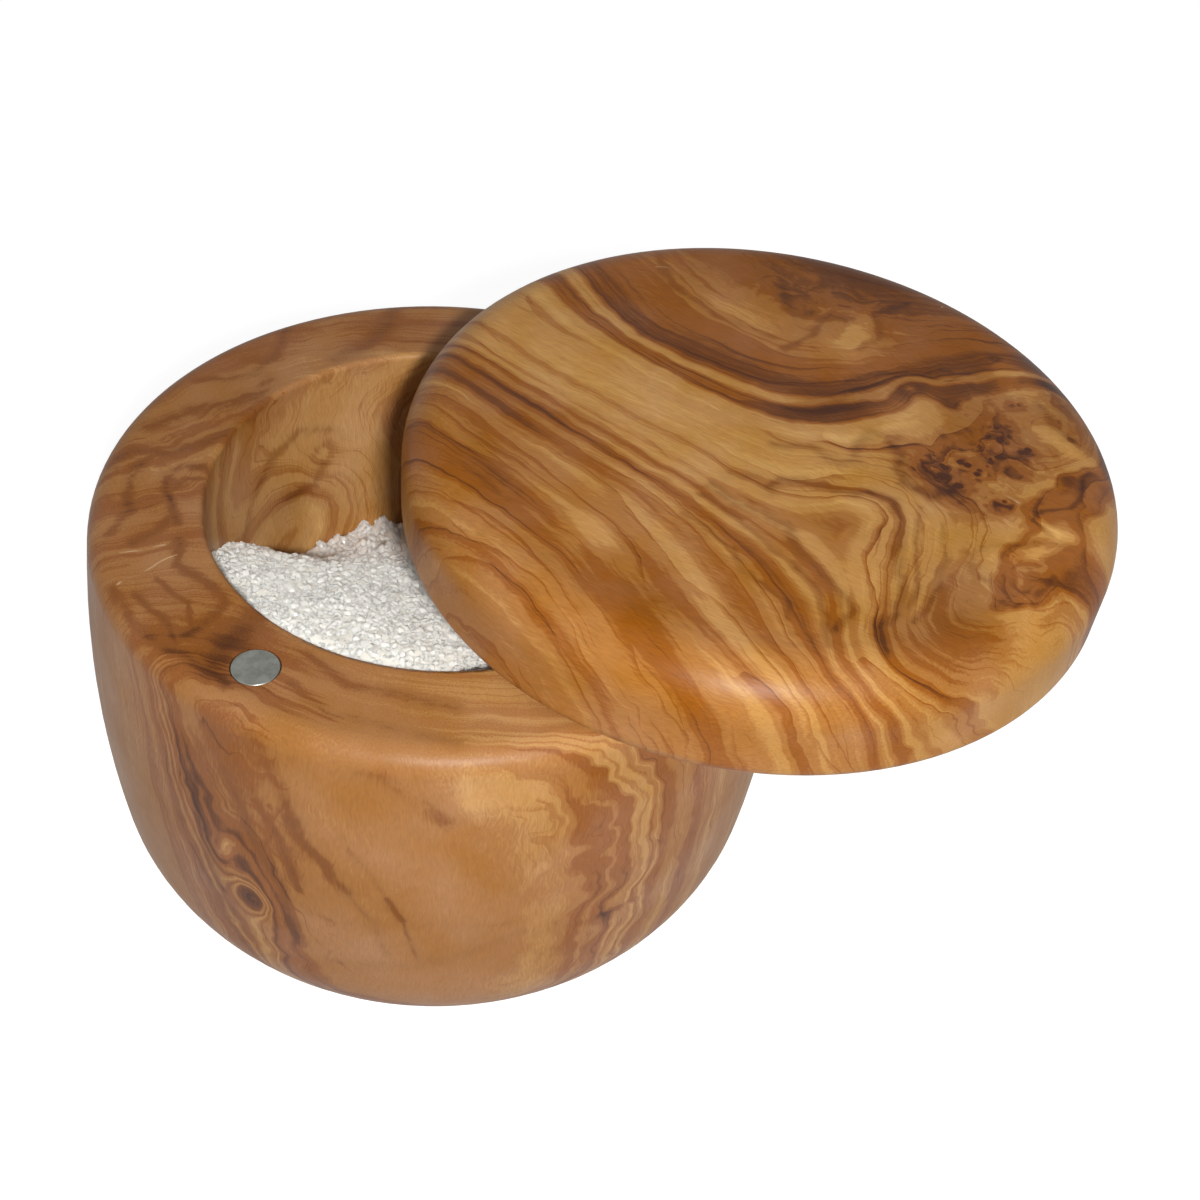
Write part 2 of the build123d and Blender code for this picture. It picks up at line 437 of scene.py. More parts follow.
def strongest_line(tree, place, lines):
    """The strongest of several thin soft lines at a place."""
    total = 0.0
    for line in lines:
        run = Vector(line.end) - Vector(line.start)
        away = add(tree, "ShaderNodeVectorMath", {0: place, 1: line.start}, operation="SUBTRACT")
        ahead = {0: away, 1: run / run.length_squared}
        share = add(tree, "ShaderNodeVectorMath", ahead, "Value", operation="DOT_PRODUCT")
        share = add(tree, "ShaderNodeMath", {0: share, 1: 0.0}, operation="MAXIMUM")
        share = add(tree, "ShaderNodeMath", {0: share, 1: 1.0}, operation="MINIMUM")
        nearest = add(tree, "ShaderNodeVectorMath", {0: run, "Scale": share}, operation="SCALE")
        off = add(tree, "ShaderNodeVectorMath", {0: away, 1: nearest}, "Value", operation="DISTANCE")
        off = add(tree, "ShaderNodeMath", {0: off, 1: line.width}, operation="DIVIDE")
        square = add(tree, "ShaderNodeMath", {0: off, 1: off}, operation="MULTIPLY")
        fall = add(tree, "ShaderNodeMath", {0: math.exp(-1), 1: square}, operation="POWER")
        dark = add(tree, "ShaderNodeMath", {0: fall, 1: line.amount}, operation="MULTIPLY")
        total = add(tree, "ShaderNodeMath", {0: total, 1: dark}, operation="MAXIMUM")
    return total


def swayed(tree, place, size, reach):
    """A place moved about by up to half its reach, in waves of one size."""
    sway = add(tree, "ShaderNodeTexNoise", {"Vector": place, "Scale": 1 / size, "Detail": 1.5}, "Color")
    sway = add(tree, "ShaderNodeVectorMath", {0: sway, 1: (0.5, 0.5, 0.5)}, operation="SUBTRACT")
    sway = add(tree, "ShaderNodeVectorMath", {0: sway, "Scale": reach}, operation="SCALE")
    return add(tree, "ShaderNodeVectorMath", {0: place, 1: sway}, operation="ADD")


def warped(tree, place, burl):
    """A place moved about as grain is: in slow sways, and in curls that a burl makes wild."""
    swirl = add(tree, "ShaderNodeMath", {0: burl, 1: 6.0}, operation="MULTIPLY")
    curl = add(tree, "ShaderNodeMath", {0: burl, 1: 3.0, 2: 1.5}, operation="MULTIPLY_ADD")
    for size, reach in ((30.0, 4.0), (13.0, swirl), (5.0, curl)):
        place = swayed(tree, place, size, reach)
    return place


def pin_knots(tree, place, eyes):
    """Pin knots in clusters: how far the rings bulge round them, and how dark their hearts are."""
    inputs = {"Vector": place, "Scale": 1 / PIN_KNOT_SPACING, "Randomness": 1.0}
    cell = add(tree, "ShaderNodeTexVoronoi", inputs, "Distance", distance="EUCLIDEAN")
    cluster = bump_sum(tree, place, eyes)
    heart = {"Value": cell, "From Min": 0.42, "From Max": 0.2}
    heart = add(tree, "ShaderNodeMapRange", heart, interpolation_type="SMOOTHSTEP")
    heart = add(tree, "ShaderNodeMath", {0: heart, 1: 0.5, 2: 0.34}, operation="MULTIPLY_ADD")
    heart = add(tree, "ShaderNodeMath", {0: heart, 1: cluster}, operation="MULTIPLY")
    bulge = add(tree, "ShaderNodeMath", {0: cell, 1: cluster}, operation="MULTIPLY")
    return bulge, heart


def ring_radius(tree, bent, figure):
    """How far out in the tree a place grew, in millimetres from the piece's centre."""
    trunk = Vector(figure.trunk).normalized()
    arm = add(tree, "ShaderNodeVectorMath", {0: bent, 1: figure.pith}, operation="SUBTRACT")
    across = add(tree, "ShaderNodeVectorMath", {0: arm, 1: trunk}, operation="CROSS_PRODUCT")
    reach = add(tree, "ShaderNodeVectorMath", {0: across}, "Value", operation="LENGTH")
    distance = Vector(figure.pith).cross(trunk).length
    ring = add(tree, "ShaderNodeMath", {0: reach, 1: distance}, operation="SUBTRACT")
    round_knots = [Bump(where, (size * 2.2,) * 3, size * -2.0) for where, size in figure.knots]
    swells = bump_sum(tree, bent, [*figure.swells, *round_knots])
    return add(tree, "ShaderNodeMath", {0: ring, 1: swells}, operation="ADD")


def streak(tree, place, ring, drift, period):
    """Streaks that keep to the rings: a change every period across them, and every drift along them."""
    along = add(tree, "ShaderNodeMath", {0: ring, 1: drift / period}, operation="MULTIPLY")
    inputs = {"Vector": place, "W": along, "Scale": 1 / drift, "Detail": 1.0}
    value = add(tree, "ShaderNodeTexNoise", inputs, noise_dimensions="4D")
    return add(tree, "ShaderNodeMath", {0: value, 1: 0.5}, operation="SUBTRACT")


def ring_tone(tree, place, ring, figure):
    """How dark the wood is, from 0 for straw to 1 for the darkest vein."""
    low, high = figure.bands[0][0], figure.bands[-1][0]
    share = add(tree, "ShaderNodeMapRange", {"Value": ring, "From Min": low, "From Max": high})
    stops = [((level - low) / (high - low), grey(dark)) for level, dark in figure.bands]
    tone = add(tree, "ShaderNodeValToRGB", {"Fac": share}, stops=stops)

    # Where the figure is strong, and where it is calm.
    lively = bump_sum(tree, place, figure.lively)
    contrast = add(tree, "ShaderNodeMath", {0: lively, 1: 0.8, 2: 1.0}, operation="MULTIPLY_ADD")
    contrast = add(tree, "ShaderNodeMath", {0: contrast, 1: 0.1}, operation="MAXIMUM")
    tone = add(tree, "ShaderNodeMath", {0: tone, 1: MIDDLE_TONE}, operation="SUBTRACT")
    tone = add(tree, "ShaderNodeMath", {0: tone, 1: contrast, 2: MIDDLE_TONE}, operation="MULTIPLY_ADD")
    for period, weight, drift in ((4.0, 0.32, 60.0), (1.5, 0.28, 35.0), (0.6, 0.14, 14.0)):
        value = streak(tree, place, ring, drift, period)
        weight = add(tree, "ShaderNodeMath", {0: contrast, 1: weight}, operation="MULTIPLY")
        tone = add(tree, "ShaderNodeMath", {0: value, 1: weight, 2: tone}, operation="MULTIPLY_ADD")

    # Each year's growth darkens towards its end and stops there. Some years are much darker than others.
    for years, weight in figure.years:
        drift = streak(tree, place, ring, 40.0, years * 3)
        year = add(tree, "ShaderNodeMath", {0: ring, 1: 1 / years}, operation="MULTIPLY")
        year = add(tree, "ShaderNodeMath", {0: drift, 1: 5.0, 2: year}, operation="MULTIPLY_ADD")
        year = add(tree, "ShaderNodeMath", {0: year}, operation="FRACT")
        late = add(tree, "ShaderNodeMath", {0: year, 1: 6.0}, operation="POWER")
        strength = streak(tree, place, ring, 50.0, years * 2)
        strength = {"Value": strength, "From Min": -0.12, "From Max": 0.2, "To Max": weight}
        strength = add(tree, "ShaderNodeMapRange", strength)
        strength = add(tree, "ShaderNodeMath", {0: strength, 1: contrast}, operation="MULTIPLY")
        tone = add(tree, "ShaderNodeMath", {0: late, 1: strength, 2: tone}, operation="MULTIPLY_ADD")
    return tone


def oiled_olive_wood(name, figure, palette):
    """Olive wood, turned, sanded and oiled: honey to dark brown, with a low, soft gloss."""
    material, tree = blank_material(name)
    metres = add(tree, "ShaderNodeTexCoord", out="Object")
    whole = add(tree, "ShaderNodeVectorMath", {0: metres, "Scale": 1 / MM}, operation="SCALE")
    place = add(tree, "ShaderNodeVectorMath", {0: whole, 1: figure.centre}, operation="SUBTRACT")

    burl = bump_sum(tree, place, figure.burl)
    bent = warped(tree, place, burl)
    ring = ring_radius(tree, bent, figure)
    bulge, heart = pin_knots(tree, place, figure.eyes)
    ring = add(tree, "ShaderNodeMath", {0: bulge, 1: 2.5, 2: ring}, operation="MULTIPLY_ADD")
    tone = ring_tone(tree, place, ring, figure)

    hearts = [Bump(where, (size,) * 3, 0.45) for where, size in figure.knots]
    hearts += [Bump(where, (size * 0.55,) * 3, -0.5) for where, size in figure.knots]
    stains_and_painted_light = bump_sum(tree, bent, [*figure.stains_and_painted_light, *hearts])
    # Checks and scratches cut across the grain's curls, and only waver a little.
    nearly = add(tree, "ShaderNodeMix", {0: 0.3, 4: place, 5: bent}, 1, data_type="VECTOR")
    nearly = swayed(tree, nearly, 4.0, 1.4)
    checks = strongest_line(tree, nearly, figure.checks)
    patchy = add(tree, "ShaderNodeTexNoise", {"Vector": nearly, "Scale": 1 / 2.5, "Detail": 3.0})
    patchy = {"Value": patchy, "From Min": 0.3, "From Max": 0.6, "To Min": 0.75}
    patchy = add(tree, "ShaderNodeMapRange", patchy)
    checks = add(tree, "ShaderNodeMath", {0: checks, 1: patchy}, operation="MULTIPLY")
    mottle = {"Vector": bent, "Scale": 1 / 5, "Detail": 4.0, "Distortion": 1.5}
    mottle = add(tree, "ShaderNodeTexNoise", mottle)
    mottle = add(tree, "ShaderNodeMath", {0: mottle, 1: 0.5}, operation="SUBTRACT")
    wild = add(tree, "ShaderNodeMath", {0: burl, 1: 0.4}, operation="SUBTRACT", use_clamp=True)
    mottle = add(tree, "ShaderNodeMath", {0: mottle, 1: wild}, operation="MULTIPLY")
    for part, weight in ((stains_and_painted_light, 0.8), (checks, 0.42), (heart, 1.0), (mottle, 1.8)):
        tone = add(tree, "ShaderNodeMath", {0: part, 1: weight, 2: tone}, operation="MULTIPLY_ADD")

    # Fibres a quarter of a millimetre wide that run along the trunk, and a slow change from red to yellow.
    lengths = tuple(0.4 if abs(share) > 0.7 else 3.5 for share in figure.trunk)
    grain = add(tree, "ShaderNodeMapping", {"Vector": bent, "Scale": lengths})
    fibre = add(tree, "ShaderNodeTexNoise", {"Vector": grain, "Scale": 1.0, "Detail": 3.0})
    tone = add(tree, "ShaderNodeMath", {0: fibre, 1: 0.08, 2: tone}, operation="MULTIPLY_ADD")
    tone = add(tree, "ShaderNodeMath", {0: tone, 1: 0.04}, operation="SUBTRACT")
    straw, honey, amber, brown, umber, vein = palette
    stops = (
        (0.0, straw), (0.24, honey), (0.35, honey), (0.43, amber), (0.51, amber),
        (0.58, brown), (0.68, brown), (0.78, umber), (1.0, vein),
    )
    colour = add(tree, "ShaderNodeValToRGB", {"Fac": tone}, stops=stops)
    cloud = add(tree, "ShaderNodeTexNoise", {"Vector": bent, "Scale": 1 / 12, "Detail": 4.0})
    richness = add(tree, "ShaderNodeMapRange", {"Value": cloud, "To Min": 0.85, "To Max": 1.15})
    richness = add(tree, "ShaderNodeMath", {0: richness, 1: figure.tint[0]}, operation="MULTIPLY")
    brightness = add(tree, "ShaderNodeMapRange", {"Value": cloud, "To Min": 1.2, "To Max": 0.8})
    shade = {"Value": fibre, "From Min": 0.3, "From Max": 0.7, "To Min": 1.1, "To Max": 0.9}
    shade = add(tree, "ShaderNodeMapRange", shade)
    brightness = add(tree, "ShaderNodeMath", {0: brightness, 1: shade}, operation="MULTIPLY")
    brightness = add(tree, "ShaderNodeMath", {0: brightness, 1: figure.tint[1]}, operation="MULTIPLY")
    # Checks and stained places also dull the wood, besides their darker colour; the painted light on the
    # well's wall brightens it as well.
    marks = add(tree, "ShaderNodeMath", {0: checks, 1: 1.5, 2: stains_and_painted_light}, operation="MULTIPLY_ADD")
    soft = add(tree, "ShaderNodeMapRange", {"Value": marks, "From Min": -1.0, "To Min": 1.4, "To Max": 0.6})
    brightness = add(tree, "ShaderNodeMath", {0: brightness, 1: soft}, operation="MULTIPLY")
    tint = {"Color": colour, "Saturation": richness, "Value": brightness}
    colour = add(tree, "ShaderNodeHueSaturation", tint)

    scratch = strongest_line(tree, nearly, figure.scratches)
    worn = {"Factor": scratch, 6: colour, 7: linear("#E2C49A")}
    colour = add(tree, "ShaderNodeMix", worn, 2, data_type="RGBA")
    rough = add(tree, "ShaderNodeMapRange", {"Value": cloud, "To Min": 0.34, "To Max": 0.5})
    relief = add(tree, "ShaderNodeBump", {"Height": fibre, "Distance": 0.03 * MM})
    shader = {"Base Color": colour, "Roughness": rough, "Normal": relief, "Specular IOR Level": 0.2}
    shader = add(tree, "ShaderNodeBsdfPrincipled", shader)
    add(tree, "ShaderNodeOutputMaterial", {"Surface": shader})
    return material


# ---------------------------------------------------------------- metals and salt


HEAP_FACING = (0.27, -0.6, 1.26)  # up and to the front, and longer than a crystal's own direction
# Heights in metres between which the salt is painted greyer and pinker, as painted shade low in the well.
UNSHADED_ABOVE = 54 * MM
SHADED_BELOW = 42 * MM


def satin_nickel(name, colours):
    """Nickel plate on a pressed magnet, dulled by salt air: a flat grey with a soft glint at its edge."""
    material, tree = blank_material(name)
    place = add(tree, "ShaderNodeTexCoord", out="Object")
    mottle = add(tree, "ShaderNodeTexNoise", {"Vector": place, "Scale": 1 / (1.2 * MM), "Detail": 4.0})
    colour = add(tree, "ShaderNodeValToRGB", {"Fac": mottle}, stops=list(zip((0.35, 0.65), colours)))
    grit = add(tree, "ShaderNodeTexNoise", {"Vector": place, "Scale": 1 / (0.15 * MM), "Detail": 2.0})
    rough = add(tree, "ShaderNodeMapRange", {"Value": mottle, "To Min": 0.3, "To Max": 0.46})
    relief = add(tree, "ShaderNodeBump", {"Height": grit, "Distance": 0.006 * MM})
    shader = {"Base Color": colour, "Metallic": 1.0, "Roughness": rough, "Normal": relief}
    shader = add(tree, "ShaderNodeBsdfPrincipled", shader)
    add(tree, "ShaderNodeOutputMaterial", {"Surface": shader})
    return material


def ground_steel(name, colour):
    """A ground steel dowel: bright, with fine rings left by the grinding wheel."""
    material, tree = blank_material(name)
    place = add(tree, "ShaderNodeTexCoord", out="Object")
    rings = add(tree, "ShaderNodeMapping", {"Vector": place, "Scale": (200.0, 200.0, 6000.0)})
    grinding = add(tree, "ShaderNodeTexNoise", {"Vector": rings, "Scale": 1.0, "Detail": 2.0})
    rough = add(tree, "ShaderNodeMapRange", {"Value": grinding, "To Min": 0.16, "To Max": 0.36})
    relief = add(tree, "ShaderNodeBump", {"Height": grinding, "Distance": 0.004 * MM})
    shader = {"Base Color": colour, "Metallic": 1.0, "Roughness": rough, "Normal": relief}
    shader = add(tree, "ShaderNodeBsdfPrincipled", shader)
    add(tree, "ShaderNodeOutputMaterial", {"Surface": shader})
    return material


def sea_salt(name, clear, cloudy, dull):
    """Coarse sea salt: milky crystals that let light into them and glint from their flat faces."""
    material, tree = blank_material(name)
    place = add(tree, "ShaderNodeTexCoord", out="Object")
    cloud = add(tree, "ShaderNodeTexNoise", {"Vector": place, "Scale": 1 / (1.5 * MM), "Detail": 2.0})
    colour = add(tree, "ShaderNodeValToRGB", {"Fac": cloud}, stops=((0.35, cloudy), (0.6, clear)))
    pits = add(tree, "ShaderNodeTexNoise", {"Vector": place, "Scale": 1 / (0.3 * MM), "Detail": 2.0})
    # Some crystals are clear with polished faces, and others are frosted.
    shape = tree.nodes.new("ShaderNodeNewGeometry").outputs
    chance = shape["Random Per Island"]
    rough = add(tree, "ShaderNodeMapRange", {"Value": chance, "To Min": 0.08, "To Max": 0.6})
    frost = add(tree, "ShaderNodeMapRange", {"Value": chance, "To Min": 0.95, "To Max": 1.03})
    colour = add(tree, "ShaderNodeHueSaturation", {"Color": colour, "Value": frost})
    # Light spreads inside the heap, so a face that is turned aside is nearly as bright as one that is not.
    facing = add(tree, "ShaderNodeVectorMath", {0: shape["Normal"], 1: HEAP_FACING}, operation="ADD")
    facing = add(tree, "ShaderNodeVectorMath", {0: facing}, operation="NORMALIZE")
    relief = add(tree, "ShaderNodeBump", {"Height": pits, "Distance": 0.02 * MM, "Normal": facing})
    # Painted shade: from 54 mm down to 42 mm, low in the well at the back, the salt is painted greyer and a
    # little pink, up to six tenths of the shade colour.
    parts = add(tree, "ShaderNodeSeparateXYZ", {0: place}, "Z")
    shaded = {"Value": parts, "From Min": UNSHADED_ABOVE, "From Max": SHADED_BELOW, "To Max": 0.6}
    shaded = add(tree, "ShaderNodeMapRange", shaded)
    colour = add(tree, "ShaderNodeMix", {"Factor": shaded, 6: colour, 7: dull}, 2, data_type="RGBA")
    shader = {
        "Base Color": colour,
        "Roughness": rough,
        "Normal": relief,
        "IOR": 1.544,
        "Subsurface Weight": 0.85,
        "Subsurface Radius": (1.0, 0.95, 0.92),
        "Subsurface Scale": 1.4 * MM,
        "Coat Weight": 0.35,
        "Coat Roughness": 0.16,
    }
    shader = add(tree, "ShaderNodeBsdfPrincipled", shader)
    add(tree, "ShaderNodeOutputMaterial", {"Surface": shader})
    return material


# The scoop that was taken from the heap, and how far below the rim's plane things stay. Millimetres.
SCOOP_X = -35.0
SCOOP_Y = 5.0
SCOOP_DEPTH = 7.0
SCOOP_SPREAD = 130.0  # twice its radius squared
SWEPT_LEVEL = RIM_HEIGHT - 0.8
GRAINS_LEVEL = RIM_HEIGHT - 0.3
CRYSTAL_LEVEL = RIM_HEIGHT - 0.1


def soft_top(low, high, ease):
    """The higher of two heights, eased into each other."""
    return max(low, high) + ease * math.log1p(math.exp(-abs(low - high) / ease))


def salt_height(x, y, salt):
    """The level of the salt in millimetres: banked up at the front, scooped out at the left, and clumped."""
    place = Vector((x, y, 0.0))
    front = place.dot(Vector((math.cos(salt.bank_side), math.sin(salt.bank_side), 0)))
    level = soft_top(salt.level / MM + salt.slope * front, salt.lowest / MM, 2.0)
    level -= SCOOP_DEPTH * math.exp(-((x - SCOOP_X) ** 2 + (y - SCOOP_Y) ** 2) / SCOOP_SPREAD)
    level = -soft_top(-level, -salt.highest / MM, 2.0)
    # Lumps stand proud of the salt at the back.
    lumpy = max(0.0, min(1.0, (-front - 8) / 10))
    level += lumpy * (3.0 * max(0.0, noise.noise(place / 2.2) + 0.1) + 0.8 * noise.noise(place / 1.3))
    level = min(level + 1.2 * noise.noise(place / 9.0), SWEPT_LEVEL)
    clumps = ((4, 0.4), (2, 0.3), (1.1, 0.2))
    level += sum(size * noise.noise(place / reach) for reach, size in clumps)
    return min(level, GRAINS_LEVEL)


def salt_bed_mesh(salt):
    """The salt as one closed form that fills the well to its level, and its top by itself."""
    wall = WELL_RADIUS - salt.clearance / MM
    floor = WELL_FLOOR + salt.clearance / MM
    corner = WELL_CORNER_ROUND - salt.clearance / MM
    sides, rings, arcs = 220, 60, 8
    radii = [wall * (ring + 1) / rings for ring in range(rings)]
    verts = [Vector((0, 0, salt_height(0, 0, salt)))]
    for radius in radii:
        for side in range(sides):
            turn = 2 * math.pi * side / sides
            x, y = radius * math.cos(turn), radius * math.sin(turn)
            verts.append(Vector((x, y, salt_height(x, y, salt))))
    top = len(verts)
    for arc in range(arcs + 1):
        turn = math.pi / 2 * arc / arcs
        radius = wall - corner + corner * math.cos(turn)
        height = floor + corner - corner * math.sin(turn)
        for side in range(sides):
            around = 2 * math.pi * side / sides
            verts.append(Vector((radius * math.cos(around), radius * math.sin(around), height)))
    verts.append(Vector((0, 0, floor)))

    faces = [(0, 1 + side, 1 + (side + 1) % sides) for side in range(sides)]
    circles = rings + arcs
    for circle in range(circles):
        first = 1 + circle * sides
        for side in range(sides):
            beside = (side + 1) % sides
            faces.append((first + side, first + sides + side, first + sides + beside, first + beside))
    last = 1 + circles * sides
    faces += [(last + side, len(verts) - 1, last + (side + 1) % sides) for side in range(sides)]

    bed = bpy.data.meshes.new("salt_bed")
    bed.from_pydata([vert * MM for vert in verts], [], faces)
    crust = bpy.data.meshes.new("salt_crust")
    crust.from_pydata([vert * MM for vert in verts[:top]], [], [f for f in faces if max(f) < top])
    for mesh in (bed, crust):
        mesh.update()
    for edge in bed.edges:
        edge.use_edge_sharp = min(edge.vertices) >= top - sides and max(edge.vertices) < top
    return bed, crust


def crystal_tree():
    """Geometry Nodes that strew crystals over a surface: broken cubes and a few rounded grains."""
    tree = bpy.data.node_groups.new("strew_crystals", "GeometryNodeTree")
    sockets = (
        ("Surface", "NodeSocketGeometry"),
        ("Density", "NodeSocketFloat"),
        ("Smallest", "NodeSocketFloat"),
        ("Largest", "NodeSocketFloat"),
        ("Seed", "NodeSocketInt"),
        ("Salt", "NodeSocketMaterial"),
    )
    for name, kind in sockets:
        tree.interface.new_socket(name, in_out="INPUT", socket_type=kind)
    tree.interface.new_socket("Crystals", in_out="OUTPUT", socket_type="NodeSocketGeometry")
    given = tree.nodes.new("NodeGroupInput").outputs

    strewn = {"Mesh": given["Surface"], "Density": given["Density"], "Seed": given["Seed"]}
    points = add(tree, "GeometryNodeDistributePointsOnFaces", strewn, "Points")
    cube = add(tree, "GeometryNodeMeshCube", {"Size": (0.8, 0.8, 0.8)})
    grain = add(tree, "GeometryNodeMeshIcoSphere", {"Radius": 0.6, "Subdivisions": 1})
    kinds = tree.nodes.new("GeometryNodeJoinGeometry")
    for shape, rounded in ((cube, False), (grain, True), (grain, True), (grain, True)):
        shape = add(tree, "GeometryNodeSetShadeSmooth", {0: shape, "Shade Smooth": rounded})
        single = add(tree, "GeometryNodeGeometryToInstance", {0: shape})
        tree.links.new(single, kinds.inputs[0])

    def chance(low, high, seed, kind="FLOAT"):
        """A random value for each crystal."""
        vector = kind == "FLOAT_VECTOR"
        first = 0 if vector else 2
        ends = {first: low, first + 1: high, "Seed": seed}
        return add(tree, "FunctionNodeRandomValue", ends, 0 if vector else 1, data_type=kind)

    share = chance(0.0, 1.0, 1)
    share = add(tree, "ShaderNodeMath", {0: share, 1: 2.5}, operation="POWER")
    ends = {"Value": share, "To Min": given["Smallest"], "To Max": given["Largest"]}
    size = add(tree, "ShaderNodeMapRange", ends)
    shape = chance((0.6, 0.7, 0.8), (1.2, 1.1, 1.3), 2, "FLOAT_VECTOR")
    size = add(tree, "ShaderNodeVectorMath", {0: shape, "Scale": size}, operation="SCALE")
    turn = chance((0.0, 0.0, 0.0), (6.3, 6.3, 6.3), 3, "FLOAT_VECTOR")
    crystals = {
        "Points": points,
        "Instance": kinds.outputs[0],
        "Pick Instance": True,
        "Rotation": turn,
        "Scale": size,
    }
    crystals = add(tree, "GeometryNodeInstanceOnPoints", crystals)
    crystals = add(tree, "GeometryNodeRealizeInstances", {0: crystals})
    sunk = {"Geometry": crystals, "Offset": (0.0, 0.0, -0.28 * MM)}
    crystals = add(tree, "GeometryNodeSetPosition", sunk)
    chip = add(tree, "ShaderNodeTexNoise", {"Scale": 1 / (0.9 * MM), "Detail": 0.0}, "Color")
    chip = add(tree, "ShaderNodeVectorMath", {0: chip, 1: (0.5, 0.5, 0.5)}, operation="SUBTRACT")
    chip = add(tree, "ShaderNodeVectorMath", {0: chip, "Scale": 0.3 * MM}, operation="SCALE")
    crystals = add(tree, "GeometryNodeSetPosition", {"Geometry": crystals, "Offset": chip})
    crystals = add(tree, "GeometryNodeSetMaterial", {"Geometry": crystals, "Material": given["Salt"]})
    end = tree.nodes.new("NodeGroupOutput")
    tree.links.new(crystals, end.inputs[0])
    return tree


def strew_crystals(crust, salt, material):
    """Makes the crystals as one plain mesh."""
    carrier = bpy.data.objects.new("salt_crust", crust)
    bpy.context.scene.collection.objects.link(carrier)
    modifier = carrier.modifiers.new("crystals", "NODES")
    modifier.node_group = crystal_tree()
    values = {
        "Density": salt.density,
        "Smallest": salt.smallest,
        "Largest": salt.largest,
        "Seed": salt.seed,
        "Salt": material,
    }
    for item in modifier.node_group.interface.items_tree:
        if item.in_out == "INPUT" and item.name in values:
            modifier[item.identifier] = values[item.name]
    context = bpy.context.evaluated_depsgraph_get()
    mesh = bpy.data.meshes.new_from_object(carrier.evaluated_get(context), depsgraph=context)
    mesh.name = "salt_crystals"
    for vertex in mesh.vertices:
        vertex.co.z = min(vertex.co.z, CRYSTAL_LEVEL * MM)
    bpy.data.objects.remove(carrier)
    return mesh


# ---------------------------------------------------------------- settings


def colour_setting(name, description, code):
    """A colour that a user can change."""
    options = {"name": name, "description": description, "default": linear(code)}
    return bpy.props.FloatVectorProperty(subtype="COLOR", size=4, min=0.0, max=1.0, **options)


def number_setting(name, description, default, **options):
    """A number that a user can change."""
    return bpy.props.FloatProperty(name=name, description=description, default=default, **options)


def length_setting(name, description, metres):
    """A length that a user can change."""
    return number_setting(name, description, metres, subtype="DISTANCE")


def angle_setting(name, description, degrees):
    """An angle that a user can change."""
    return number_setting(name, description, math.radians(degrees), subtype="ANGLE")


class KeeperWood(bpy.types.PropertyGroup):
    """Colours of the wood, from the palest to the darkest vein."""

    straw: colour_setting("Straw", "Palest wood", "#C99B59")
    honey: colour_setting("Honey", "Plain wood", "#B48245")
    amber: colour_setting("Amber", "Between the veins", "#A26B32")
    brown: colour_setting("Brown", "Broad bands", "#8F531B")
    umber: colour_setting("Umber", "Dark bands", "#713D0F")
    vein: colour_setting("Vein", "Darkest veins", "#492106")


class KeeperMetal(bpy.types.PropertyGroup):
    """Colours of the magnets and the pin."""

    plate_dull: colour_setting("Dull plate", "Nickel where it has tarnished", "#8C8E86")
    plate_clean: colour_setting("Clean plate", "Nickel where it is brightest", "#A2A49C")
    steel: colour_setting("Steel", "The ground pin", "#B4B4B2")


class KeeperSalt(bpy.types.PropertyGroup):
    """How the well is filled."""

    level: length_setting("Level", "Height of the salt at the middle", 0.0539)
    slope: number_setting("Slope", "How steeply it banks up to the front", 0.6, min=0.0, max=1.0)
    bank_side: angle_setting("Bank side", "Where it is highest", -74)
    lowest: length_setting("Lowest", "Height where it is scooped out", 0.0345)
    highest: length_setting("Highest", "Height that the bank at the front tends to", 0.0775)
    clearance: length_setting("Clearance", "Between the salt and the wood", 0.0002)
    smallest: length_setting("Smallest", "Width of the smallest crystal", 0.0008)
    largest: length_setting("Largest", "Width of the largest crystal", 0.0018)
    density: number_setting("Density", "Crystals for each square metre", 1.6e6, min=0.0)
    seed: bpy.props.IntProperty(name="Seed", description="Where the crystals happen to lie", default=7)
    clear: colour_setting("Clear", "Salt where it is brightest", "#EFECE1")
    cloudy: colour_setting("Cloudy", "Salt where it is milky", "#E7E2D6")
    # Painted shade: the greyer, pinker colour given to the salt low in the well.
    shaded: colour_setting("Shaded", "Salt where it is damp", "#CFC1B8")


class KeeperStage(bpy.types.PropertyGroup):
    """Camera and lights."""

    azimuth: angle_setting("Azimuth", "Camera's turn round the keeper", 26.734)
    elevation: angle_setting("Elevation", "How far it looks down", 43.828)
    roll: angle_setting("Roll", "Camera's tilt to one side", 6.742)
    distance: length_setting("Distance", "From the camera to its target", 0.2690)
    target: bpy.props.FloatVectorProperty(
        name="Target",
        description="Where it looks",
        subtype="TRANSLATION",
        default=(0.023079, 0.011625, 0.056213),
    )
    lens: number_setting("Lens", "Focal length in millimetres", 48.803)
    key: number_setting("Key", "Key lamp", 1.9, subtype="POWER")
    fill: number_setting("Fill", "Fill lamp", 0.25, subtype="POWER")
    ambient: number_setting("Ambient", "Light from all round", 0.24, min=0.0)


# ---------------------------------------------------------------- operators


def dress(node, material):
    """Gives a node of the frame its material."""
    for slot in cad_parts[node].material_slots:
        slot.material = material


class KEEPER_OT_oil_wood(bpy.types.Operator):
    """Give the body and the lid their oiled olive wood"""

    bl_idname = "keeper.oil_wood"
    bl_label = "Oil the wood"

    def execute(self, context):
        """Makes one wood for each blank, because each was cut from another part of the tree."""
        wood = context.scene.keeper_wood
        shades = (wood.straw, wood.honey, wood.amber, wood.brown, wood.umber, wood.vein)
        palette = [tuple(shade) for shade in shades]
        for node, figure in (("body", BODY_FIGURE), ("lid", LID_FIGURE)):
            dress(node, oiled_olive_wood(f"oiled_olive_wood_{node}", figure, palette))
        return {"FINISHED"}


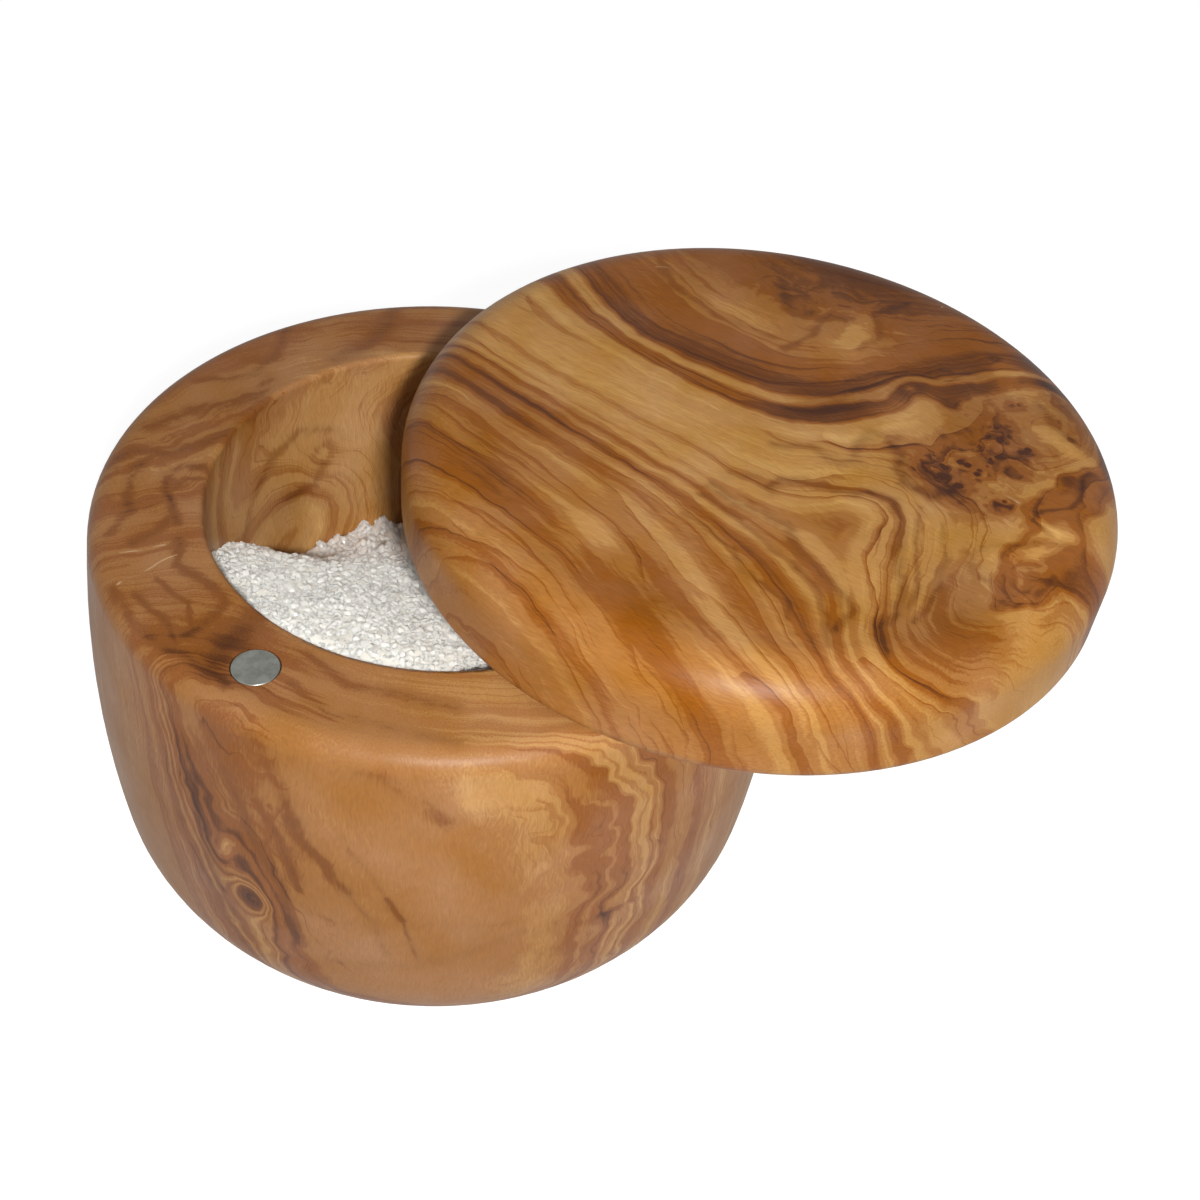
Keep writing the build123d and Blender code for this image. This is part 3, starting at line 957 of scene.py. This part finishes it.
class KEEPER_OT_plate_magnets(bpy.types.Operator):
    """Give the two magnets their nickel plate"""

    bl_idname = "keeper.plate_magnets"
    bl_label = "Plate the magnets"

    def execute(self, context):
        """Makes one plate for both."""
        metal = context.scene.keeper_metal
        plate = satin_nickel("satin_nickel_plate", (tuple(metal.plate_dull), tuple(metal.plate_clean)))
        for node in ("body_magnet", "lid_magnet"):
            dress(node, plate)
        return {"FINISHED"}


class KEEPER_OT_grind_pin(bpy.types.Operator):
    """Give the pivot pin its ground steel"""

    bl_idname = "keeper.grind_pin"
    bl_label = "Grind the pin"

    def execute(self, context):
        """Makes the steel."""
        dress("pivot_pin", ground_steel("ground_steel", tuple(context.scene.keeper_metal.steel)))
        return {"FINISHED"}


class KEEPER_OT_pour_salt(bpy.types.Operator):
    """Fill the well with coarse salt"""

    bl_idname = "keeper.pour_salt"
    bl_label = "Pour the salt"

    def execute(self, context):
        """Makes the bed that fills the well, and the crystals that lie on it."""
        salt = context.scene.keeper_salt
        colours = [tuple(colour) for colour in (salt.clear, salt.cloudy, salt.shaded)]
        material = sea_salt("coarse_sea_salt", *colours)
        bed, crust = salt_bed_mesh(salt)
        bed.materials.append(material)
        bed.polygons.foreach_set("use_smooth", [True] * len(bed.polygons))
        for mesh in (bed, strew_crystals(crust, salt, material)):
            piece = bpy.data.objects.new(mesh.name, mesh)
            context.scene.collection.objects.link(piece)
            # Light goes through the crystals, so they throw next to no shadow.
            piece.visible_shadow = mesh is bed
            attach(piece, "body")
        return {"FINISHED"}


class KEEPER_OT_set_stage(bpy.types.Operator):
    """Set up the floor, the lights and the camera"""

    bl_idname = "keeper.set_stage"
    bl_label = "Set the stage"

    def execute(self, context):
        """Makes a white table, soft light and the camera."""
        stage = context.scene.keeper_stage
        context.scene.view_settings.view_transform = "Standard"
        place_floor()
        light_world(context.scene, stage)
        place_camera(context.scene, stage)
        place_lamps(stage)
        return {"FINISHED"}


def camera_axes(stage):
    """The camera's right, up and forward directions."""
    level = Matrix.Rotation(stage.azimuth, 3, "Z")
    forward = level @ Vector((0, math.cos(stage.elevation), -math.sin(stage.elevation)))
    side = Matrix.Rotation(-stage.roll, 3, forward) @ level @ Vector((1, 0, 0))
    return side, side.cross(forward), forward


def place_camera(scene, stage):
    """A camera that looks at the keeper from the front right, from above."""
    side, up, forward = camera_axes(stage)
    data = bpy.data.cameras.new("camera")
    data.sensor_fit = "HORIZONTAL"
    data.sensor_width = 36
    data.lens = stage.lens
    data.clip_start = 0.01
    camera = bpy.data.objects.new("camera", data)
    rotation = Matrix((side, up, -forward)).transposed().to_4x4()
    camera.matrix_world = Matrix.Translation(Vector(stage.target) - forward * stage.distance) @ rotation
    scene.collection.objects.link(camera)
    scene.camera = camera


def place_lamps(stage):
    """A small key lamp beside the camera, a little right and low, and a large fill up on the left.

    Each lamp has its distances back, right and up from the target, its width and its power.
    """
    side, up, forward = camera_axes(stage)
    lamps = (
        ("key", (0.42, 0.049, -0.039), 0.03, stage.key),
        ("fill", (0.4, -0.6, 0.5), 0.7, stage.fill),
    )
    for name, (back, right, above), size, power in lamps:
        offset = -forward * back + side * right + up * above
        data = bpy.data.lights.new(name, "AREA")
        data.size = size
        data.energy = power
        lamp = bpy.data.objects.new(name, data)
        lamp.location = Vector(stage.target) + offset
        lamp.rotation_euler = (-offset).to_track_quat("-Z", "Y").to_euler()
        bpy.context.scene.collection.objects.link(lamp)


def light_world(scene, stage):
    """White all round: full white to the camera, softer in reflections and softer still as a light."""
    world = bpy.data.worlds.new("white_room")
    world.use_nodes = True
    tree = world.node_tree
    tree.nodes.clear()
    mirrored, seen = looked_at(tree)
    strength = add(tree, "ShaderNodeMapRange", {"Value": mirrored, "To Min": stage.ambient, "To Max": 0.6})
    strength = add(tree, "ShaderNodeMath", {0: strength, 1: seen}, operation="MAXIMUM")
    room = add(tree, "ShaderNodeBackground", {"Color": grey(1.0), "Strength": strength})
    add(tree, "ShaderNodeOutputWorld", {"Surface": room})
    scene.world = world


def looked_at(tree):
    """1 for what is mirrored in a surface or lies behind it, and 1 for what the camera sees by itself."""
    path = tree.nodes.new("ShaderNodeLightPath").outputs
    mirrored = {0: path["Is Glossy Ray"], 1: path["Is Transmission Ray"]}
    return add(tree, "ShaderNodeMath", mirrored, operation="MAXIMUM"), path["Is Camera Ray"]


def place_floor():
    """A broad white table top, just under the keeper, that keeps its shadow."""
    reach = 3.0
    height = -0.2 * MM
    mesh = bpy.data.meshes.new("floor")
    corners = [(x * reach, y * reach, height) for x, y in ((-1, -1), (1, -1), (1, 1), (-1, 1))]
    mesh.from_pydata(corners, [], [(0, 1, 2, 3)])
    material, tree = blank_material("white_table")
    paint = add(tree, "ShaderNodeBsdfDiffuse", {"Color": linear("#A9A9A9")})
    mirrored, seen = looked_at(tree)
    lift = add(tree, "ShaderNodeMath", {0: mirrored, 1: 0.5}, operation="MULTIPLY")
    seen = add(tree, "ShaderNodeMath", {0: seen, 1: 0.86}, operation="MULTIPLY")
    lift = add(tree, "ShaderNodeMath", {0: lift, 1: seen}, operation="MAXIMUM")
    glow = add(tree, "ShaderNodeEmission", {"Color": grey(1.0), "Strength": lift})
    both = add(tree, "ShaderNodeAddShader", {0: paint, 1: glow})
    add(tree, "ShaderNodeOutputMaterial", {"Surface": both})
    mesh.materials.append(material)
    floor = bpy.data.objects.new("floor", mesh)
    bpy.context.scene.collection.objects.link(floor)


class KEEPER_PT_panel(bpy.types.Panel):
    """The keeper's steps, in order"""

    bl_idname = "KEEPER_PT_panel"
    bl_label = "Salt keeper"
    bl_space_type = "VIEW_3D"
    bl_region_type = "UI"
    bl_category = "Salt keeper"

    def draw(self, context):
        """Lists the operators."""
        for step in STEPS:
            self.layout.operator(step.bl_idname)


STEPS = (
    KEEPER_OT_oil_wood,
    KEEPER_OT_plate_magnets,
    KEEPER_OT_grind_pin,
    KEEPER_OT_pour_salt,
    KEEPER_OT_set_stage,
)
SETTINGS = {
    "keeper_wood": KeeperWood,
    "keeper_metal": KeeperMetal,
    "keeper_salt": KeeperSalt,
    "keeper_stage": KeeperStage,
}
CLASSES = (*SETTINGS.values(), *STEPS, KEEPER_PT_panel)


def register():
    """Adds the classes and the scene's settings."""
    for item in CLASSES:
        bpy.utils.register_class(item)
    for name, group in SETTINGS.items():
        setattr(bpy.types.Scene, name, bpy.props.PointerProperty(type=group))


def unregister():
    """Takes the settings and the classes away again."""
    for name in SETTINGS:
        delattr(bpy.types.Scene, name)
    for item in reversed(CLASSES):
        bpy.utils.unregister_class(item)


def main():
    """Builds the keeper's looks."""
    register()
    for step in STEPS:
        category, name = step.bl_idname.split(".")
        if getattr(getattr(bpy.ops, category), name)() != {"FINISHED"}:
            raise RuntimeError(f"{step.bl_label} was cancelled")


if __name__ == "__main__":
    main()
